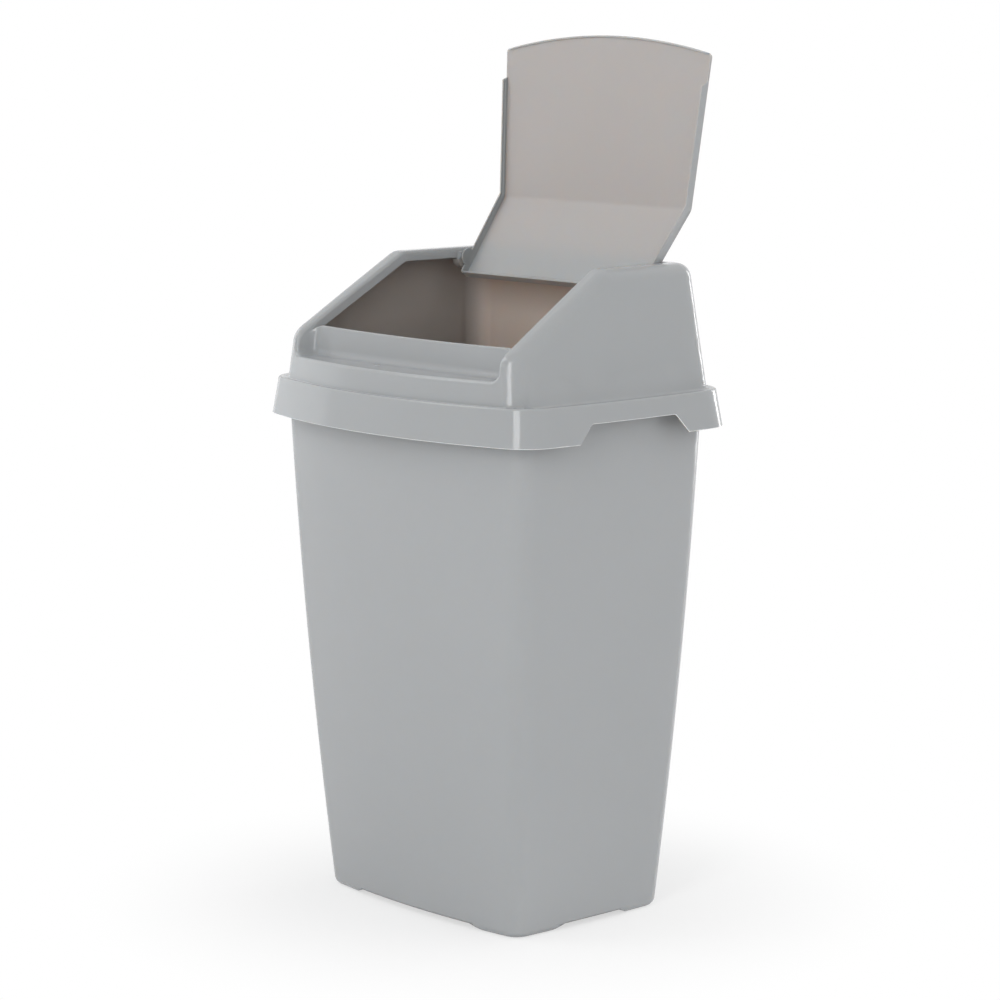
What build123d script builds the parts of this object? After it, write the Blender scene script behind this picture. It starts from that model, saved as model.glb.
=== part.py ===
from build123d import *
import os
from math import cos, radians, sin, sqrt, tan

os.makedirs("parts", exist_ok=True)

# The origin is on the floor, in the middle of the bin as it stands with its flap open.
# The front is towards -Y, and all sizes are in millimetres and degrees.

# Wall and clearances of the mouldings
wall = 2.2
seat_gap = 0.3
rim_gap = 1.2
pin_gap = 0.05
flap_side_gap = 1.6
flap_rear_gap = 1.2
flap_lip_gap = 1.5
crest_step = 1.0

# Tub: outline at the floor, half way up and at the rim
tub_height = 542.1
tub_low = dict(half_width=148.8, front=-97.4, back=106.8, front_bow=11.5, side_bow=2.5, corner=21.5)
tub_mid = dict(half_width=172.3, front=-113.2, back=122.6, front_bow=19.0, side_bow=3.0, corner=23.5)
tub_top = dict(half_width=186.4, front=-123.9, back=135.5, front_bow=26.0, side_bow=3.5, corner=26.0)
base_round = 9.0
rim_lip_depth = 9.0
rim_lip_wall = 1.8

# Feet: the underside is raised between them, across the width and across the depth
foot_height = 6.4
width_gap = 86.0
depth_gap = 38.0
foot_slope = 15.5
foot_round = 5.0

# Skirt of the hood
skirt_drop = 38.6
skirt_side_gap = 18.6
skirt_front_gap = 9.4
skirt_back_gap = 18.1
skirt = dict(
    half_width=tub_top["half_width"] + skirt_side_gap,
    front=tub_top["front"] - skirt_front_gap,
    back=tub_top["back"] + skirt_back_gap,
    front_bow=35.2,
    side_bow=7.2,
    corner=40.6,
)
skirt_lean = 5.1
skirt_round = 2.5
skirt_edge_round = 0.8

# Finger notches in the skirt's sides
notch_half_width = 57.0
notch_height = 19.0
notch_slope = 17.5
notch_round = 5.0
notch_y = 5.7

# Upper body of the hood, at the ledge
hood_rise = 125.7
body_side_step = 4.4
body_front_step = 2.7
body_back_step = 9.9
hood = dict(
    half_width=tub_top["half_width"] - body_side_step,
    front=tub_top["front"] - body_front_step,
    back=tub_top["back"] + body_back_step,
    front_bow=30.0,
    side_bow=3.0,
    corner=24.0,
)
hood_side_lean = 0.12
hood_end_lean = 0.09
crest_slope = 31.0
knuckle_y = 5.0
crest_round = 16.0
knuckle_round = 18.0

# Lip at the front of the opening and the finger scoop below it
lip_y = -105.2
lip_bow = 2.5
lip_lean = 0.09
scoop_drop = 101.8
scoop_corner = 11.0
scoop_foot_round = 8.0
side_lip_depth = 10.8
opening_rear_corner = 2.0
mouth_round = 4.0

# Hinge
pivot_y = 90.4
pivot_drop = 10.4
pin_radius = 3.0
pin_length = 6.5
boss_radius = 12.0
boss_depth = 10.0
open_angle = 127.0

# Flap, measured along the closed flap from the hinge axis
panel = 2.1
bend_reach = 83.3
bend_angle = 31.2
bend_round = 8.0
front_reach = 158.8
front_bow = 16.6
tail_reach = 19.2
rear_side_step = 49.4
bend_side_step = 44.0
front_side_step = 31.6
rear_half_width = tub_top["half_width"] - rear_side_step
bend_half_width = tub_top["half_width"] - bend_side_step
front_half_width = tub_top["half_width"] - front_side_step
flap_corner = 3.0
rim_depth = 7.4
rim_wall = 2.0
rim_chamfer = 7.0
ear_radius = 9.3

# Heights that follow from the sizes above
skirt_top = tub_height + seat_gap + wall
ledge_under = tub_height + seat_gap
skirt_low = skirt_top - skirt_drop
crest_z = skirt_top + hood_rise
pivot_z = crest_z - pivot_drop
scoop_floor = crest_z - scoop_drop


def section(height, size, inset=0.0):
    """Level outline of a shell: bowed at the front and the sides, flat at the back, round at the corners.

    An inset moves every edge inwards by that much, as the inside of a wall."""
    half_width, front, back = size["half_width"], size["front"], size["back"]
    bow, side_bow = size["front_bow"], size["side_bow"]
    middle = (front + back) / 2
    half_depth = (back - front) / 2
    front_radius = (half_width**2 + bow**2) / (2 * bow)
    side_radius = (half_depth**2 + side_bow**2) / (2 * side_bow)
    front_centre = front - bow + front_radius
    side_centre = half_width + side_bow - side_radius
    front_radius -= inset
    side_radius -= inset
    # The front corner is where the front's circle and the side's circle cross.
    apart = sqrt(side_centre**2 + (middle - front_centre) ** 2)
    along = (front_radius**2 - side_radius**2 + apart**2) / (2 * apart)
    across = sqrt(front_radius**2 - along**2)
    to_side = (side_centre / apart, (middle - front_centre) / apart)
    front_x = along * to_side[0] - across * to_side[1]
    front_y = front_centre + along * to_side[1] + across * to_side[0]
    back_y = back - inset
    back_x = side_centre + sqrt(side_radius**2 - (back_y - middle) ** 2)
    side_x = half_width + side_bow - inset
    with BuildSketch(Plane.XY.offset(height)) as outline:
        with BuildLine():
            ThreePointArc((-front_x, front_y), (0, front - bow + inset), (front_x, front_y))
            ThreePointArc((front_x, front_y), (side_x, middle), (back_x, back_y))
            Line((back_x, back_y), (-back_x, back_y))
            ThreePointArc((-back_x, back_y), (-side_x, middle), (-front_x, front_y))
        make_face()
        fillet(outline.vertices(), size["corner"] - inset)
    return outline.sketch


def leaned(size, side, end):
    """The same outline moved inwards by side at the sides and by end at the front and the back."""
    moved = dict(half_width=size["half_width"] - side, front=size["front"] + end, back=size["back"] - end)
    return {**size, **moved}


def hood_size(height):
    """Outline of the hood's upper body at a height: its walls lean in as they rise."""
    rise = height - skirt_top
    return leaned(hood, hood_side_lean * rise, hood_end_lean * rise)


skirt_top_size = leaned(skirt, skirt_lean, skirt_lean)


def gap_profile(half_gap, centre, grow):
    """Cross-section of the raised underside between two feet, grown by a wall for the inside."""
    with BuildSketch() as profile:
        with BuildLine():
            Polyline(
                (-half_gap - 2 * foot_slope, -foot_height),
                (-half_gap, foot_height),
                (half_gap, foot_height),
                (half_gap + 2 * foot_slope, -foot_height),
                close=True,
            )
        make_face()
        fillet(profile.vertices().group_by(Axis.Y)[-1], foot_round)
        if grow:
            offset(amount=grow)
    return profile.sketch.locate(Location((centre, 0)))


def raised_underside(grow=0.0):
    """The two crossing gaps between the feet."""
    centre = (tub_low["front"] + tub_low["back"]) / 2
    with BuildPart() as gaps:
        with BuildSketch(Plane.XZ):
            add(gap_profile(width_gap, 0, grow))
        extrude(amount=2 * tub_low["half_width"], both=True)
        with BuildSketch(Plane.YZ):
            add(gap_profile(depth_gap, centre, grow))
        extrude(amount=2 * tub_low["half_width"], both=True)
    return gaps.part


# Tub
with BuildPart() as tub_inside:
    loft(
        sections=[
            section(0, tub_low, wall),
            section(tub_height / 2, tub_mid, wall),
            section(tub_height, tub_top, wall),
        ]
    )
    split(bisect_by=Plane.XY.offset(wall), keep=Keep.TOP)
    fillet(tub_inside.faces().sort_by(Axis.Z)[0].edges(), base_round - wall)
    add(raised_underside(wall), mode=Mode.SUBTRACT)

rim_size = leaned(skirt_top_size, wall + rim_gap, wall + rim_gap)
rim_size["corner"] = skirt["corner"] - wall - rim_gap
with BuildPart() as tub:
    loft(
        sections=[
            section(0, tub_low),
            section(tub_height / 2, tub_mid),
            section(tub_height, tub_top),
        ]
    )
    fillet(tub.faces().sort_by(Axis.Z)[0].edges(), base_round)
    add(raised_underside(), mode=Mode.SUBTRACT)
    extrude(section(tub_height - wall, rim_size), amount=wall)
    with BuildSketch(Plane.XY.offset(tub_height - rim_lip_depth)):
        add(section(0, rim_size))
        add(section(0, rim_size, rim_lip_wall), mode=Mode.SUBTRACT)
    extrude(amount=rim_lip_depth)
    add(tub_inside.part, mode=Mode.SUBTRACT)

tub.part.label = "tub"
export_step(tub.part, "parts/tub.step")

# Flap, drawn as it lies closed and turned about the hinge axis to its open stop
flap_top_plane = Plane(
    origin=(0, pivot_y, pivot_z),
    x_dir=(1, 0, 0),
    z_dir=(0, sin(radians(open_angle)), cos(radians(open_angle))),
)
flap_side_plane = Plane(
    origin=(0, pivot_y, pivot_z),
    x_dir=(0, cos(radians(open_angle)), -sin(radians(open_angle))),
    z_dir=(1, 0, 0),
)
underside = pivot_drop - crest_step - panel
fold = radians(bend_angle)
front_run = front_reach * cos(fold)
front_bow_run = front_bow * cos(fold)
front_y = -bend_reach - front_run
panel_run = front_reach + 2 * front_bow


def flap_half_width(y):
    """Half the flap's width at y, measured level from the hinge axis of the closed flap."""
    if y > -bend_reach:
        share = (tail_reach - y) / (tail_reach + bend_reach)
        return rear_half_width + share * (bend_half_width - rear_half_width)
    return bend_half_width + (-bend_reach - y) / front_run * (front_half_width - bend_half_width)


def under_panel(run):
    """Point on the panel's underside that far in front of the bend."""
    return (-bend_reach - run * cos(fold), underside - run * sin(fold))


def over_panel(run):
    """Point on the panel's top that far in front of the bend."""
    y, z = under_panel(run)
    return (y - panel * sin(fold), z + panel * cos(fold))


def flap_plan(inset=0.0, front_extra=0.0):
    """Outline of the closed flap seen from above."""
    front = front_y - front_extra
    with BuildSketch() as plan:
        with BuildLine():
            Polyline(
                (-flap_half_width(front), front),
                (-bend_half_width, -bend_reach),
                (-rear_half_width, tail_reach),
                (rear_half_width, tail_reach),
                (bend_half_width, -bend_reach),
                (flap_half_width(front), front),
            )
            ThreePointArc(
                (-flap_half_width(front), front),
                (0, front - front_bow_run),
                (flap_half_width(front), front),
            )
        make_face()
        fillet(plan.vertices().group_by(Axis.Y)[0] + plan.vertices().group_by(Axis.Y)[-1], flap_corner)
        if inset:
            offset(amount=-inset)
    return plan.sketch


# The rim under the panel ends in a chamfer just behind the lip of the hood.
rim_front = lip_y + wall - pivot_y
rim_run = (-bend_reach - rim_front) / cos(fold)

with BuildPart() as flap_rim:
    with BuildSketch(flap_side_plane):
        with BuildLine():
            Polyline(
                (tail_reach, underside + panel / 2),
                (-bend_reach, underside + panel / 2),
                under_panel(rim_run),
                (under_panel(rim_run - rim_chamfer)[0], under_panel(rim_run - rim_chamfer)[1] - rim_depth),
                (-bend_reach, underside - rim_depth),
                (tail_reach, underside - rim_depth),
                close=True,
            )
        make_face()
        Circle(ear_radius)
    extrude(amount=front_half_width, both=True)
    with BuildSketch(flap_top_plane):
        add(flap_plan())
        add(flap_plan(rim_wall, 2 * rim_chamfer), mode=Mode.SUBTRACT)
    extrude(amount=front_reach, both=True, mode=Mode.INTERSECT)

with BuildPart() as flap:
    with BuildSketch(flap_side_plane):
        with BuildLine():
            under = FilletPolyline(
                (tail_reach, underside), (-bend_reach, underside), under_panel(panel_run), radius=bend_round
            )
            over = FilletPolyline(
                (tail_reach, underside + panel),
                (-bend_reach - panel * tan(fold / 2), underside + panel),
                over_panel(panel_run),
                radius=bend_round + panel,
            )
            Line(under @ 0, over @ 0)
            Line(under @ 1, over @ 1)
        make_face()
    extrude(amount=front_half_width, both=True)
    with BuildSketch(flap_top_plane):
        add(flap_plan())
    extrude(amount=front_reach, both=True, mode=Mode.INTERSECT)
    add(flap_rim.part)
    with BuildSketch(flap_side_plane.offset(flap_half_width(0) - rim_wall / 2)):
        Circle(pin_radius)
    extrude(amount=rim_wall / 2 + pin_length)
    with BuildSketch(flap_side_plane.offset(-flap_half_width(0) + rim_wall / 2)):
        Circle(pin_radius)
    extrude(amount=-rim_wall / 2 - pin_length)

flap.part.label = "flap"
export_step(flap.part, "parts/flap.step")

# Hood
slope = radians(crest_slope)
opening_rear = pivot_y + tail_reach + flap_rear_gap
bend_y = pivot_y - bend_reach
opening_front = pivot_y + front_y
# The open flap leans out over the opening's rear edge with the wider part that lies in front of the hinge.
opening_rear_half_width = flap_half_width(pivot_y - opening_rear) + flap_side_gap + opening_rear_corner


def lip_plane(y):
    """Height of the plane that lies a gap below the front of the closed flap."""
    run = (pivot_y - bend_reach - y) / cos(fold)
    return pivot_z + under_panel(run)[1] - flap_lip_gap / cos(fold)


def below_top(y, depth):
    """Height of the surface that lies that deep under the hood's sloping front, at y."""
    return crest_z - depth - (knuckle_y + depth * tan(slope / 2) - y) * tan(slope)


def hood_block(low, inset):
    """Solid of the hood's upper body, with its level top, sloping front and rounded crest."""
    with BuildPart() as block:
        loft(
            sections=[
                section(low, hood_size(low), inset),
                section(crest_z + wall, hood_size(crest_z + wall), inset),
            ],
            ruled=True,
        )
        split(bisect_by=Plane.XY.offset(crest_z - inset), keep=Keep.BOTTOM)
        sloping_plane = Plane(
            origin=(0, knuckle_y + inset * sin(slope), crest_z - inset * cos(slope)),
            x_dir=(1, 0, 0),
            z_dir=(0, -sin(slope), cos(slope)),
        )
        split(bisect_by=sloping_plane, keep=Keep.BOTTOM)
        top = block.faces().sort_by(Axis.Z)[-1]
        fillet(top.edges().sort_by(Axis.Y)[0], knuckle_round - inset)
        top = block.faces().sort_by(Axis.Z)[-1]
        sloping = block.faces().filter_by(lambda f: abs(f.normal_at().Z - cos(slope)) < 0.001)[0]
        fillet(ShapeList(set(top.edges() + sloping.edges())), crest_round - inset)
    return block.part


scoop_front = hood["front"] - 2 * hood["front_bow"]


def scoop(grow=0.0):
    """Space of the finger scoop in front of the lip, grown by a wall's thickness for the inside.

    Its ends run on from the sides of the opening."""
    outlines = []
    for height in (scoop_floor - grow, crest_z + wall):
        back = lip_y - lip_lean * (lip_plane(lip_y) - height) + grow
        half_back = flap_half_width(back - pivot_y) + flap_side_gap + grow
        half_front = flap_half_width(scoop_front - pivot_y) + flap_side_gap + grow
        with BuildSketch(Plane.XY.offset(height)) as outline:
            with BuildLine():
                ThreePointArc((-half_back, back), (0, back - lip_bow), (half_back, back))
                Polyline(
                    (half_back, back),
                    (half_front, scoop_front),
                    (-half_front, scoop_front),
                    (-half_back, back),
                )
            make_face()
            fillet(outline.vertices().group_by(Axis.Y)[-1], scoop_corner + grow)
        outlines.append(outline.sketch)
    with BuildPart() as space:
        loft(sections=outlines, ruled=True)
        floor_edges = space.faces().sort_by(Axis.Z)[0].edges()
        fillet(floor_edges.filter_by(lambda e: e.center().Y > scoop_front + 1), scoop_foot_round + grow)
    return space.part


def opening_outline(grow=0.0):
    """Outline of the opening seen from above. In front of the lip it runs on into the finger scoop."""
    with BuildSketch(Plane.XY.offset(skirt_top)) as plan:
        with BuildLine():
            Polyline(
                (-flap_half_width(front_y) - flap_side_gap, opening_front),
                (-flap_half_width(-bend_reach) - flap_side_gap, bend_y),
                (-opening_rear_half_width, opening_rear),
                (opening_rear_half_width, opening_rear),
                (flap_half_width(-bend_reach) + flap_side_gap, bend_y),
                (flap_half_width(front_y) + flap_side_gap, opening_front),
                close=True,
            )
        make_face()
        fillet(plan.vertices().group_by(Axis.Y)[-1], opening_rear_corner)
        if grow:
            offset(amount=grow)
    return plan.sketch


# The lips turned down along both sides of the opening follow the hood's top.
lips_rear = opening_rear - opening_rear_corner
lips_front = lip_y + wall / 2
with BuildPart() as side_lips:
    with BuildSketch(Plane.YZ):
        with BuildLine():
            Polyline(
                (lips_rear, crest_z - wall / 2),
                (knuckle_y + wall / 2 * tan(slope / 2), crest_z - wall / 2),
                (lips_front, below_top(lips_front, wall / 2)),
                (lips_front, below_top(lips_front, side_lip_depth)),
                (knuckle_y + side_lip_depth * tan(slope / 2), crest_z - side_lip_depth),
                (lips_rear, crest_z - side_lip_depth),
                close=True,
            )
        make_face()
    extrude(amount=front_half_width + 2 * wall, both=True)
    with BuildSketch(Plane.XY.offset(skirt_top)):
        add(opening_outline(wall))
        add(opening_outline(), mode=Mode.SUBTRACT)
    extrude(amount=hood_rise, mode=Mode.INTERSECT)

# A short end closes each lip against the round corner of the finger scoop.
ends_rear = lips_front + wall
ends_front = lip_y - scoop_corner
with BuildPart() as lip_ends:
    with BuildSketch(Plane.YZ):
        with BuildLine():
            Polyline(
                (ends_rear, below_top(ends_rear, wall / 2)),
                (ends_front, below_top(ends_front, wall / 2)),
                (ends_front, below_top(ends_front, side_lip_depth)),
                (ends_rear, below_top(ends_rear, side_lip_depth)),
                close=True,
            )
        make_face()
    extrude(amount=front_half_width + 2 * wall, both=True)
    with BuildSketch(Plane.XY.offset(skirt_top)):
        add(opening_outline(wall))
        add(opening_outline(), mode=Mode.SUBTRACT)
    extrude(amount=hood_rise, mode=Mode.INTERSECT)


def on_mouth(edge, inset=0.0):
    """Whether an edge runs along the top of one of the opening's sides, or of its lip's inside."""
    point = edge @ 0.5
    rear = (opening_rear - point.Y) / (opening_rear - bend_y)
    at_bend = flap_half_width(-bend_reach) + flap_side_gap
    side = opening_rear_half_width + rear * (at_bend - opening_rear_half_width)
    if point.Y < bend_y:
        side = flap_half_width(point.Y - pivot_y) + flap_side_gap
    level = min(crest_z - inset, below_top(point.Y, inset))
    return abs(abs(point.X) - side - inset) < 0.7 and level - 1.5 < point.Z < level + 0.1


with BuildPart() as hood_inside:
    add(hood_block(ledge_under, wall))
    add(scoop(wall), mode=Mode.SUBTRACT)
    add(side_lips.part, mode=Mode.SUBTRACT)
    inner = hood_inside.edges().filter_by(lambda e: on_mouth(e, wall))
    fillet(inner, mouth_round - wall)
    add(lip_ends.part, mode=Mode.SUBTRACT)

# The opening is cut down to the lip at the front and clear of everything behind it.
with BuildPart() as opening:
    with BuildSketch(Plane.YZ):
        with BuildLine():
            Polyline(
                (opening_front, lip_plane(opening_front)),
                (lip_y + 2 * wall, lip_plane(lip_y + 2 * wall)),
                (lip_y + 2 * wall, ledge_under - wall),
                (opening_rear, ledge_under - wall),
                (opening_rear, crest_z + wall),
                (opening_front, crest_z + wall),
                close=True,
            )
        make_face()
    extrude(amount=front_half_width + 2 * wall, both=True)
    with BuildSketch(Plane.XY.offset(ledge_under - wall)):
        add(opening_outline().moved(Location((0, 0, ledge_under - wall - skirt_top))))
    extrude(amount=hood_rise + 3 * wall, mode=Mode.INTERSECT)

half_notch = notch_half_width + 2 * notch_slope
pin_start = flap_half_width(0)
boss_start = pin_start + flap_side_gap
with BuildSketch() as boss_outline:
    with Locations((pivot_y, pivot_z)):
        Circle(boss_radius)
    with Locations((pivot_y, crest_z - mouth_round + boss_radius)):
        Rectangle(2 * boss_radius, 2 * boss_radius, mode=Mode.SUBTRACT)

with BuildPart() as hood_cover:
    loft(sections=[section(skirt_low, skirt), section(skirt_top, skirt_top_size)], ruled=True)
    fillet(hood_cover.faces().sort_by(Axis.Z)[-1].edges(), skirt_round)
    with BuildSketch(Plane.YZ):
        with BuildLine():
            Polyline(
                (notch_y - notch_half_width - 2 * notch_slope, skirt_low - notch_height),
                (notch_y - notch_half_width, skirt_low + notch_height),
                (notch_y + notch_half_width, skirt_low + notch_height),
                (notch_y + notch_half_width + 2 * notch_slope, skirt_low - notch_height),
                close=True,
            )
        notch = make_face()
        fillet(notch.vertices().group_by(Axis.Y)[-1], notch_round)
    extrude(amount=skirt["half_width"] + 2 * skirt["side_bow"], both=True, mode=Mode.SUBTRACT)
    low_edges = hood_cover.edges().filter_by(lambda e: (e @ 0.5).Z < skirt_low + notch_height + 0.01)
    outer_edges = low_edges.filter_by(lambda e: abs((e % 0.5).X) < 0.999 or abs((e @ 0.5).Y) > notch_y + half_notch)
    fillet(outer_edges, skirt_edge_round)
    loft(
        sections=[section(skirt_low, skirt, wall), section(ledge_under, skirt_top_size, wall)],
        ruled=True,
        mode=Mode.SUBTRACT,
    )
    add(hood_block(ledge_under, 0.0))
    add(scoop(), mode=Mode.SUBTRACT)
    add(opening.part, mode=Mode.SUBTRACT)
    floor_edges = hood_cover.edges().filter_by(lambda e: abs(e.center().Z - scoop_floor) < 0.01)
    fillet(hood_cover.edges().filter_by(on_mouth) + [floor_edges.sort_by(Axis.Y)[0]], mouth_round)
    add(hood_inside.part, mode=Mode.SUBTRACT)
    with BuildSketch(Plane.YZ.offset(boss_start)):
        add(boss_outline.sketch)
    extrude(amount=boss_depth)
    with BuildSketch(Plane.YZ.offset(-boss_start)):
        add(boss_outline.sketch)
    extrude(amount=-boss_depth)
    with BuildSketch(Plane.YZ):
        with Locations((pivot_y, pivot_z)):
            Circle(pin_radius + pin_gap)
    extrude(amount=boss_start + boss_depth, both=True, mode=Mode.SUBTRACT)

hood_cover.part.label = "hood"
export_step(hood_cover.part, "parts/hood.step")
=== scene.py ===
# %% [markdown]
# # A lift top bin in glossy grey plastic
# The bin is three mouldings: a tapering tub, a hood that sits on its rim, and a bent flap that swings up on
# two pins. All three are thin walls of polypropylene, polished on the outside, so nearly all of the look is
# in soft reflections, rounded edges and small changes of tone. The measured model gives every size.

# %% Load the measured model
import math

import bmesh
import bpy
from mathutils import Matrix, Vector


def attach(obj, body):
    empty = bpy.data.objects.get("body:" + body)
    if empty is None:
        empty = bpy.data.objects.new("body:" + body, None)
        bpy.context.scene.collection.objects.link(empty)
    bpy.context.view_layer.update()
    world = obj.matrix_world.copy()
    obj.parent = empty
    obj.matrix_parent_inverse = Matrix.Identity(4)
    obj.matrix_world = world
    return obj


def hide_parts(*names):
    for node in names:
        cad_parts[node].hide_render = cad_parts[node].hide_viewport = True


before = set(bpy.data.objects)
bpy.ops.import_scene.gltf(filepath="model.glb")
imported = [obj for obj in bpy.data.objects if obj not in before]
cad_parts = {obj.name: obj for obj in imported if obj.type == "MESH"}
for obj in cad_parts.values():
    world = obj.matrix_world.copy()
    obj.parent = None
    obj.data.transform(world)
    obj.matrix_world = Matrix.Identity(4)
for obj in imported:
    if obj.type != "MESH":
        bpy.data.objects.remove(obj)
bpy.context.view_layer.update()

# %% [markdown]
# ## Turning a measured solid into a moulding
# The solids come as loose triangles. A copy is welded, so that light can run smoothly over the curved walls,
# and edges that turn more than a set angle stay crisp. A plain smooth shade would smear light round the
# corners of flat walls, so each corner's normal follows the larger faces beside it instead.

# %% A helper for a moulding
weld_gap = 1e-5
smallest_edge = 1e-6
crisp_angle = math.radians(35)


def moulding(node, name):
    """A welded copy of a measured solid, with smooth walls and crisp edges."""
    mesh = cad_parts[node].data.copy()
    mesh.name = name
    mesh.materials.clear()
    work = bmesh.new()
    work.from_mesh(mesh)
    bmesh.ops.remove_doubles(work, verts=work.verts, dist=weld_gap)
    bmesh.ops.dissolve_degenerate(work, edges=work.edges, dist=smallest_edge)
    for face in work.faces:
        face.smooth = True
    work.to_mesh(mesh)
    work.free()
    mesh.set_sharp_from_angle(angle=crisp_angle)
    piece = bpy.data.objects.new(name, mesh)
    bpy.context.scene.collection.objects.link(piece)
    weighted = piece.modifiers.new("even light", "WEIGHTED_NORMAL")
    weighted.mode = "FACE_AREA"
    weighted.weight = 60
    weighted.keep_sharp = True
    print(name, len(mesh.vertices), "points,", len(mesh.polygons), "faces")
    return piece


tub = moulding("tub", "tub_shell")
hood = moulding("hood", "hood_shell")
flap = moulding("flap", "flap_panel")

# %% [markdown]
# ## Small helpers for node trees
# A few small steps come back in several finishes and in the studio: two values joined into one, a value
# stretched to a new range, how far a direction points towards another, and a mix of two colours.


# %% Helpers for node trees
def combine(tree, operation, first, second=None):
    """One value made from one or two others by a sum, a product or another step of arithmetic."""
    step = tree.nodes.new("ShaderNodeMath")
    step.operation = operation
    tree.links.new(first, step.inputs[0])
    if second is not None:
        tree.links.new(second, step.inputs[1])
    return step.outputs[0]


def stretch(tree, value, start, end, low, high, smooth=False):
    """A value stretched from one range to another."""
    ramp = tree.nodes.new("ShaderNodeMapRange")
    if smooth:
        ramp.interpolation_type = "SMOOTHSTEP"
    ramp.inputs["From Min"].default_value = start
    ramp.inputs["From Max"].default_value = end
    ramp.inputs["To Min"].default_value = low
    ramp.inputs["To Max"].default_value = high
    tree.links.new(value, ramp.inputs["Value"])
    return ramp.outputs["Result"]


def towards(tree, vector, direction):
    """How far a vector points in a direction, from 1 along it to -1 against it."""
    unit = tree.nodes.new("ShaderNodeVectorMath")
    unit.operation = "NORMALIZE"
    tree.links.new(vector, unit.inputs[0])
    dot = tree.nodes.new("ShaderNodeVectorMath")
    dot.operation = "DOT_PRODUCT"
    dot.inputs[1].default_value = direction
    tree.links.new(unit.outputs[0], dot.inputs[0])
    return dot.outputs["Value"]


def blend(tree, factor, first, second):
    """A mix of two colours, each a socket or three numbers."""
    mix = tree.nodes.new("ShaderNodeMix")
    mix.data_type = "RGBA"
    tree.links.new(factor, mix.inputs["Factor"])
    for socket, colour in (("A", first), ("B", second)):
        if isinstance(colour, tuple):
            mix.inputs[socket].default_value = (*colour, 1)
        else:
            tree.links.new(colour, mix.inputs[socket])
    return mix.outputs["Result"]


def noise(tree, place, scale, detail):
    """A soft noise from 0 to 1, with about that many spots to a metre."""
    cloud = tree.nodes.new("ShaderNodeTexNoise")
    cloud.inputs["Scale"].default_value = scale
    cloud.inputs["Detail"].default_value = detail
    tree.links.new(place, cloud.inputs["Vector"])
    return cloud.outputs["Fac"]


# %% [markdown]
# ## Polypropylene
# The plastic is a light cool grey. It is smooth and glossy, but a large moulding is never a perfect mirror:
# the surface waves slightly where it cooled, and the gloss changes a little from place to place. A wide noise
# moves the tone and the gloss by a hundredth or two, and a finer one waves the skin. A thin wall also lets
# some light through, warmer than it came in, so the shader has a little subsurface light. In the flap, which
# stands free with the light behind it, that is most of what it shows.
#
# Inside the bin the walls let some light through, and the warm light that has passed through the plastic
# several times is also painted in as a lighter, browner colour. The side walls, which stand behind the skirt,
# get a painted shade darker than the back wall, so the colour turns across the two rear corners: there the
# distance from the middle is about as large as the distance towards the back.

# %% A helper for the plastic
plastic_ior = 1.49
light_reach = (1.0, 0.72, 0.52)
tone_size, tone_drift, gloss_drift = 7.0, 0.015, 0.02
skin_size, skin_height, skin_strength = 22.0, 0.0006, 0.3
corner_start, corner_end = 0.015, 0.06


def plastic(name, colour, rough, through=0.3, depth=0.003, sides=None):
    """Moulded plastic with a slight drift of tone and gloss and a wavy skin, which lets some light through. A
    sides colour is painted shade that turns in across the rear corners.
    """
    material = bpy.data.materials.new(name)
    material.use_nodes = True
    tree = material.node_tree
    shader = tree.nodes["Principled BSDF"]
    shader.inputs["IOR"].default_value = plastic_ior
    shader.inputs["Subsurface Weight"].default_value = through
    shader.inputs["Subsurface Radius"].default_value = light_reach
    shader.inputs["Subsurface Scale"].default_value = depth
    place = tree.nodes.new("ShaderNodeTexCoord").outputs["Object"]
    tone = noise(tree, place, tone_size, 3.0)
    darker, lighter = (tuple(c * (1 + drift) for c in colour) for drift in (-tone_drift, tone_drift))
    tint = blend(tree, tone, darker, lighter)
    # painted shade: the side walls turn to the darker sides colour across the rear corners
    if sides:
        split = tree.nodes.new("ShaderNodeSeparateXYZ")
        tree.links.new(place, split.inputs[0])
        off = combine(tree, "ABSOLUTE", split.outputs["X"])
        across = combine(tree, "SUBTRACT", off, split.outputs["Y"])
        turn = stretch(tree, across, corner_start, corner_end, 0, 1, smooth=True)
        tint = blend(tree, turn, tint, sides)
    tree.links.new(tint, shader.inputs["Base Color"])
    gloss = stretch(tree, tone, 0, 1, rough - gloss_drift, rough + gloss_drift)
    tree.links.new(gloss, shader.inputs["Roughness"])
    bump = tree.nodes.new("ShaderNodeBump")
    bump.inputs["Strength"].default_value = skin_strength
    bump.inputs["Distance"].default_value = skin_height
    tree.links.new(noise(tree, place, skin_size, 1.0), bump.inputs["Height"])
    tree.links.new(bump.outputs["Normal"], shader.inputs["Normal"])
    print("finish", name)
    return material


tub_plastic = plastic("tub_plastic", (0.405, 0.417, 0.427), 0.22)
hood_plastic = plastic("hood_plastic", (0.40, 0.413, 0.422), 0.12)
flap_plastic = plastic("flap_plastic", (0.427, 0.438, 0.443), 0.31, through=0.85, depth=0.006)
# Inside: a lighter, browner colour painted for the warm light through the plastic, and a darker painted shade
# on the side walls
inner_side_painted_shade = (0.39, 0.363, 0.338)
inner_painted_light_and_shade = plastic("inner_painted_light_and_shade", (0.69, 0.65, 0.61), 0.31, through=0.5, depth=0.004, sides=inner_side_painted_shade)
# A painted highlight: a near-white plastic for the small round along the skirt's lower edge
painted_edge_highlight = plastic("painted_edge_highlight", (0.88, 0.89, 0.90), 0.15)
# Painted shade: a darker plastic for the inner sides of the flap's rims
rim_painted_shade = plastic("rim_painted_shade", (0.27, 0.28, 0.283), 0.31, through=0.2)
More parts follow.
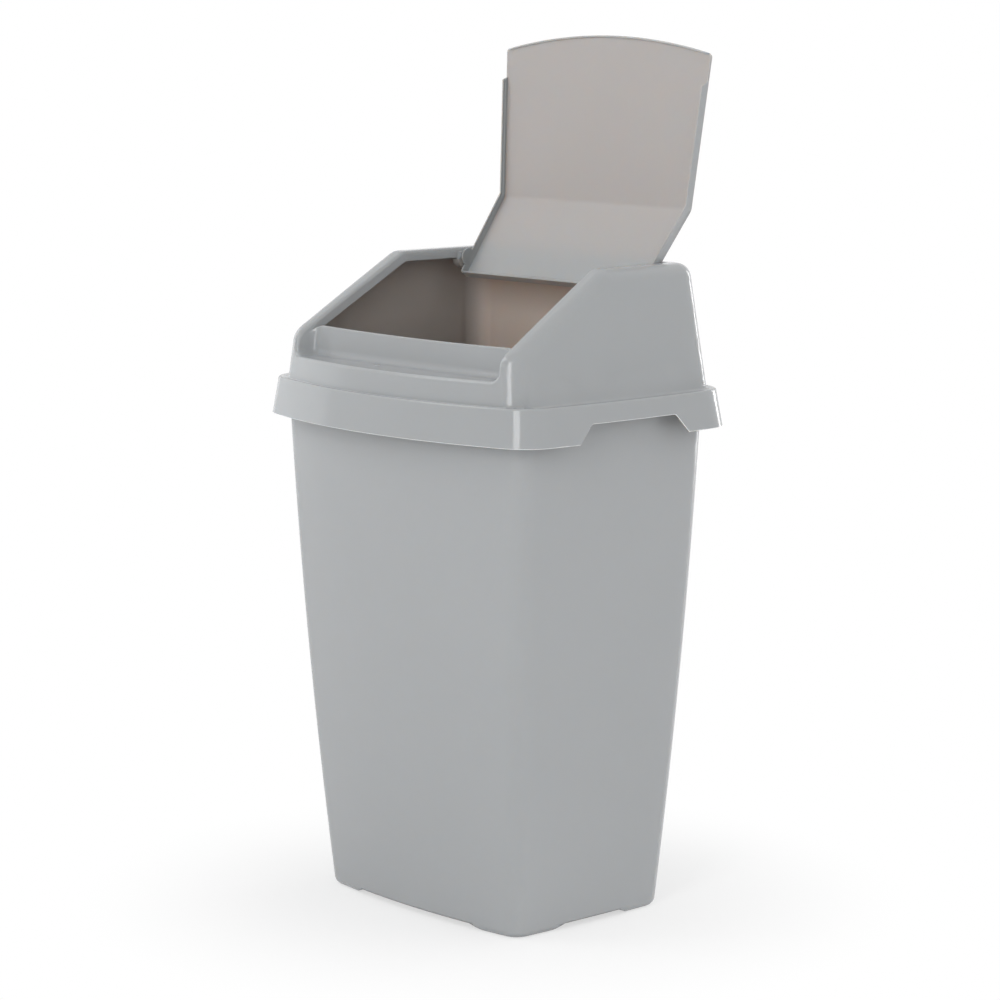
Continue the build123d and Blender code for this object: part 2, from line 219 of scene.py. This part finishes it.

# %% [markdown]
# ## Inside and edges
# The inner finish, with its painted warm light and painted shade, goes on the faces that look into the bin. In
# the hood it starts below the turned-down lips, which follow the slope of the cheeks. Light that runs along a
# wall comes out at a moulded edge, and here that is a painted highlight: the small round along the skirt's
# lower edge gets a lighter plastic. The rims down the flap's sides stand edge on to the light behind it and
# don't glow as its panel does: their outer sides take the tub's finish, and their inner sides get painted
# shade in a darker plastic.

# %% Where the finishes change
middle_y = 0.007
tub_rim_top = 0.5415
hood_top, slope_start, slope = 0.6703, 0.005, math.tan(math.radians(31.0))
lip_depth = 0.0125
scoop_back, ledge_under = -0.104, 0.544
skirt_low, skirt_high = 0.504, 0.5285
rim_start = 0.13
level_face, side_face = 0.9, 0.8
round_start, round_end = -0.97, -0.12


def outward(c, n):
    """More than 0 for a face that looks away from the bin's upright axis."""
    return n.x * c.x + n.y * (c.y - middle_y)


def tub_inside(c, n):
    """Whether a face of the tub looks inwards below the top of its rim."""
    return c.z < tub_rim_top and outward(c, n) < 0 and abs(n.z) < level_face


def hood_inside(c, n):
    """Whether a face of the hood looks inwards and lies below the turned-down lips."""
    top = hood_top - max(0.0, slope_start - c.y) * slope
    return c.z < top - lip_depth and outward(c, n) < 0 and (c.y > scoop_back or c.z < ledge_under)


def skirt_edge(c, n):
    """Whether a face is part of the small round along the skirt's lower edge and its notches."""
    return skirt_low < c.z < skirt_high and round_start < n.z < round_end and outward(c, n) > 0


def rim_facing(c, n):
    """1 for a face on the outer side of one of the flap's rims and -1 on its inner side, 0 elsewhere."""
    facing = math.copysign(1, c.x) * n.x
    return math.copysign(1, facing) if abs(c.x) > rim_start and abs(facing) > side_face else 0


# %% Faces with a finish of their own
def finish_faces(piece, finish, chosen):
    """Gives the faces that a rule picks their own finish."""
    piece.data.materials.append(finish)
    index = len(piece.data.materials) - 1
    picked = [face for face in piece.data.polygons if chosen(face.center, face.normal)]
    for face in picked:
        face.material_index = index
    print(piece.name, len(picked), "faces in", finish.name)


tub.data.materials.append(tub_plastic)
hood.data.materials.append(hood_plastic)
flap.data.materials.append(flap_plastic)
# the faces that look into the bin get the painted warm light and painted shade
finish_faces(tub, inner_painted_light_and_shade, tub_inside)
finish_faces(hood, inner_painted_light_and_shade, hood_inside)
# the painted highlight goes on the round along the skirt's lower edge
finish_faces(hood, painted_edge_highlight, skirt_edge)
finish_faces(flap, tub_plastic, lambda c, n: rim_facing(c, n) > 0)
# the inner sides of the flap's rims get painted shade
finish_faces(flap, rim_painted_shade, lambda c, n: rim_facing(c, n) < 0)

# %% [markdown]
# ## Small turned and swept shapes
# The two small details that come next are both made of rings of points: one ring at each step along a path
# for the bead, and one for each height of the turned moulding mark. The sides between two rings are
# four-sided faces, and the two ends are closed.

# %% A helper for shapes made of rings
mm = 0.001


def from_rings(name, outline, finish, crisp=None):
    """A closed piece through rings of places, with a face between each two neighbours."""
    work = bmesh.new()
    rings = [[work.verts.new(spot) for spot in ring] for ring in outline]
    for first, second in zip(rings, rings[1:]):
        for i in range(len(first)):
            j = (i + 1) % len(first)
            work.faces.new((first[i], first[j], second[j], second[i]))
    work.faces.new(rings[0])
    work.faces.new(reversed(rings[-1]))
    bmesh.ops.recalc_face_normals(work, faces=work.faces)
    mesh = bpy.data.meshes.new(name)
    work.to_mesh(mesh)
    work.free()
    mesh.shade_smooth()
    if crisp:
        mesh.set_sharp_from_angle(angle=crisp)
    mesh.materials.append(finish)
    piece = bpy.data.objects.new(name, mesh)
    bpy.context.scene.collection.objects.link(piece)
    print(name, len(mesh.polygons), "faces")
    return piece


# %% [markdown]
# ## The bead at the flap's front edge
# A thin bead under the bowed front edge stiffens the flap where fingers lift it. It could be a curve with a
# bevel, but its outer side has to stay flush with the edge, so its section is set out point by point: at each
# step along the bow, one direction runs inwards along the panel and one stands square to its underside. The
# places are worked out on the closed flap and then swung up about the hinge.

# %% Build the bead
hinge = Vector((0.0, 0.0904, 0.6599))
opened = math.radians(127.0)
fold = math.radians(31.2)
bow_radius, bow_centre = 0.8509, 0.61757
bend_run, under_height = 0.0833, 0.0073
bead_reach, bead_steps, bead_fade, bead_end = 0.1515, 60, 0.008, 0.1
bead_section = [(0.15, -0.4), (0.15, 1.2), (0.5, 1.8), (1.1, 2.0), (1.7, 1.8), (2.1, 1.2), (2.2, -0.4)]

to_rear = Vector((0, math.cos(opened), -math.sin(opened)))
to_top = Vector((0, math.sin(opened), math.cos(opened)))
square = Vector((0, math.sin(fold), -math.cos(fold)))


def bead_ring(x):
    """The bead's section at a distance from the middle of the bow, on the open flap."""
    y = bow_centre - math.sqrt(bow_radius**2 - x**2)
    z = under_height + (bend_run + y) * math.tan(fold)
    inward = Vector((-x, bow_centre - y, (bow_centre - y) * math.tan(fold))).normalized()
    height = min(1.0, bead_end + (bead_reach - abs(x)) / bead_fade)
    ring = []
    for along, up in bead_section:
        rise = up * height if up > 0 else up
        flat = Vector((x, y, z)) + inward * along * mm + square * rise * mm
        ring.append(hinge + Vector((flat.x, 0, 0)) + to_rear * flat.y + to_top * flat.z)
    return ring


bead_places = [bead_reach * (2 * step / bead_steps - 1) for step in range(bead_steps + 1)]
flap_bead = from_rings("flap_bead", [bead_ring(x) for x in bead_places], flap_plastic, math.radians(50))

# %% [markdown]
# ## The moulding mark in the finger scoop
# The plastic enters the mould at a small round mark, which stays as a raised ring with a dimple. The turned
# outline is swept round an upright axis, and a ray from above finds the floor of the scoop for it.

# %% Build the moulding mark
above_mark = Vector((-0.028, -0.1285, 0.6))
mark_outline = [(3.1, -0.3), (3.0, 0.12), (2.6, 0.4), (2.1, 0.42), (1.6, 0.2), (1.0, 0.1), (0.5, 0.28)]
mark_steps = 32

bpy.context.view_layer.update()
hit, floor_spot, _, _ = hood.ray_cast(above_mark, Vector((0, 0, -1)))
print("floor of the scoop at", tuple(round(v, 4) for v in floor_spot) if hit else "no hit")
turns = [2 * math.pi * step / mark_steps for step in range(mark_steps)]
mark_rings = [
    [floor_spot + Vector((radius * math.cos(turn), radius * math.sin(turn), height)) * mm for turn in turns]
    for radius, height in mark_outline
]
scoop_mark = from_rings("scoop_mark", mark_rings, hood_plastic)

# %% Say which body each piece belongs to
for piece, body, slot in (
    (tub, "tub", "tub_plastic"),
    (hood, "hood", "hood_plastic"),
    (flap, "flap", "flap_plastic"),
    (flap_bead, "flap", "flap_plastic"),
    (scoop_mark, "hood", "hood_plastic"),
):
    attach(piece, body)
for piece, body in ((tub, "tub"), (hood, "hood"), (flap, "flap")):
    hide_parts(body)

# %% [markdown]
# ## A white studio floor
# The floor is a pale sheet that takes the bin's soft shadow. Where the camera or a reflection looks at it, it
# fades into pure white a short way from the bin. The bin shows a room that is darker behind the camera than
# behind the bin, and the same fall of light is used for the floor and for the room.

# %% Helpers for what each kind of ray sees
behind_bin = (-0.745, 0.667, 0.0)
room_start, room_end, room_dark = -0.15, 0.55, 0.35


def room_light(tree, way):
    """Brightness of the room in a reflection, which rises from the camera's side to the far side."""
    return stretch(tree, towards(tree, way, behind_bin), room_start, room_end, room_dark, 1.0)


def seen_by(tree, kind):
    """1 for a ray of that kind and 0 for the others."""
    return tree.nodes.new("ShaderNodeLightPath").outputs[kind]


# %% Floor
floor_half = 12
fade_start, fade_end, fade_least = 0.14, 0.45, 0.6
corners = [(-1, -1), (1, -1), (1, 1), (-1, 1)]

floor_mesh = bpy.data.meshes.new("studio_floor")
floor_mesh.from_pydata([(x * floor_half, y * floor_half, 0) for x, y in corners], [], [(0, 1, 2, 3)])
floor = bpy.data.objects.new("studio_floor", floor_mesh)
bpy.context.scene.collection.objects.link(floor)
floor_paint = bpy.data.materials.new("floor_paint")
floor_paint.use_nodes = True
tree = floor_paint.node_tree
paint = tree.nodes["Principled BSDF"]
paint.inputs["Base Color"].default_value = (0.93, 0.93, 0.93, 1)
paint.inputs["Roughness"].default_value = 0.9
paint.inputs["Specular IOR Level"].default_value = 0.0
glow = tree.nodes.new("ShaderNodeEmission")
place = tree.nodes.new("ShaderNodeTexCoord").outputs["Object"]
length = tree.nodes.new("ShaderNodeVectorMath")
length.operation = "LENGTH"
tree.links.new(place, length.inputs[0])
fade = stretch(tree, length.outputs["Value"], fade_start, fade_end, fade_least, 1.0, smooth=True)
glossy = combine(tree, "MULTIPLY", seen_by(tree, "Is Glossy Ray"), room_light(tree, place))
seen = combine(tree, "MAXIMUM", seen_by(tree, "Is Camera Ray"), glossy)
mix = tree.nodes.new("ShaderNodeMixShader")
tree.links.new(combine(tree, "MULTIPLY", seen, fade), mix.inputs["Fac"])
tree.links.new(paint.outputs[0], mix.inputs[1])
tree.links.new(glow.outputs[0], mix.inputs[2])
tree.links.new(mix.outputs[0], tree.nodes["Material Output"].inputs["Surface"])
floor_mesh.materials.append(floor_paint)
print("floor", 2 * floor_half, "m wide, white from", fade_end, "m off the middle")

# %% [markdown]
# ## The room
# The world does three things. The camera sees it pure white. A reflection sees the room's fall of light,
# which gives the walls their gentle slope from dark to bright. All other rays get an even fill with a wide,
# soft rise on the right behind the bin, which lights the right walls without an edge that the gloss could
# show.

# %% World
fill_side = (0.643, 0.766, 0.0)
fill_start, fill_end, fill_least, fill_most = 0.15, 1.0, 0.42, 1.45
white = 1.0

world = bpy.data.worlds.new("studio")
bpy.context.scene.world = world
world.use_nodes = True
tree = world.node_tree
ambient = tree.nodes["Background"]
ambient.inputs["Color"].default_value = (1.0, 1.0, 1.0, 1)
way = tree.nodes.new("ShaderNodeTexCoord").outputs["Generated"]
side = towards(tree, way, fill_side)
fill = stretch(tree, side, fill_start, fill_end, fill_least, fill_most, smooth=True)


def choose(tree, kind, others, this):
    """One value for rays of a kind and another for all others."""
    mix = tree.nodes.new("ShaderNodeMix")
    mix.data_type = "FLOAT"
    tree.links.new(seen_by(tree, kind), mix.inputs["Factor"])
    tree.links.new(others, mix.inputs["A"])
    if isinstance(this, float):
        mix.inputs["B"].default_value = this
    else:
        tree.links.new(this, mix.inputs["B"])
    return mix.outputs["Result"]


level = choose(tree, "Is Glossy Ray", fill, room_light(tree, way))
level = choose(tree, "Is Camera Ray", level, white)
tree.links.new(level, ambient.inputs["Strength"])
print("world fill from", fill_least, "to", fill_most)

# %% [markdown]
# ## Soft boxes
# The tall box in front, a little to the right, draws the crisp bright strip down each rounded corner. The
# wide one on the left gives the front its cool light. The key box hangs high on the left: it reaches the back
# wall inside and leaves the inner left wall and the rails in shade. The strip behind the bin gives the white
# rims on its right and the light that comes through the flap.

# %% Soft boxes
lit_middle = Vector((0.0, 0.0, 0.45))
plain, cool = (1.0, 1.0, 1.0), (0.92, 0.96, 1.0)


def soft_box(name, place, width, height, watts, tint=plain):
    """A rectangular studio light that faces the middle of the bin."""
    lamp = bpy.data.lights.new(name, "AREA")
    lamp.shape = "RECTANGLE"
    lamp.size = width
    lamp.size_y = height
    lamp.energy = watts
    lamp.color = tint
    box = bpy.data.objects.new(name, lamp)
    box.location = place
    box.rotation_euler = (lit_middle - Vector(place)).to_track_quat("-Z", "Y").to_euler()
    bpy.context.scene.collection.objects.link(box)
    print(name, watts, "W")


soft_box("front_box", (1.12, -2.3, 1.5), 0.8, 2.0, 25)
soft_box("left_box", (-2.8, -0.4, 0.9), 2.2, 2.2, 9, cool)
soft_box("key_box", (-1.2, -1.4, 2.4), 1.2, 1.2, 14)
soft_box("back_strip", (0.1, 2.6, 0.8), 0.5, 1.6, 13)

# %% [markdown]
# ## Camera
# A long lens far away keeps the uprights nearly parallel, as in the photo.

# %% Camera
camera_data = bpy.data.cameras.new("camera")
camera_data.lens = 118.76
camera_data.sensor_width = 36.0
camera = bpy.data.objects.new("camera", camera_data)
camera.location = (2.5272, -2.2468, 0.9494)
aim = Vector((0.0042, 0.0097, 0.4203))
camera.rotation_euler = (aim - camera.location).to_track_quat("-Z", "Y").to_euler()
bpy.context.scene.collection.objects.link(camera)
bpy.context.scene.camera = camera
bpy.context.scene.view_settings.view_transform = "Standard"
print("camera", round((aim - camera.location).length, 2), "m from the bin")

# %% The end
bpy.context.view_layer.update()
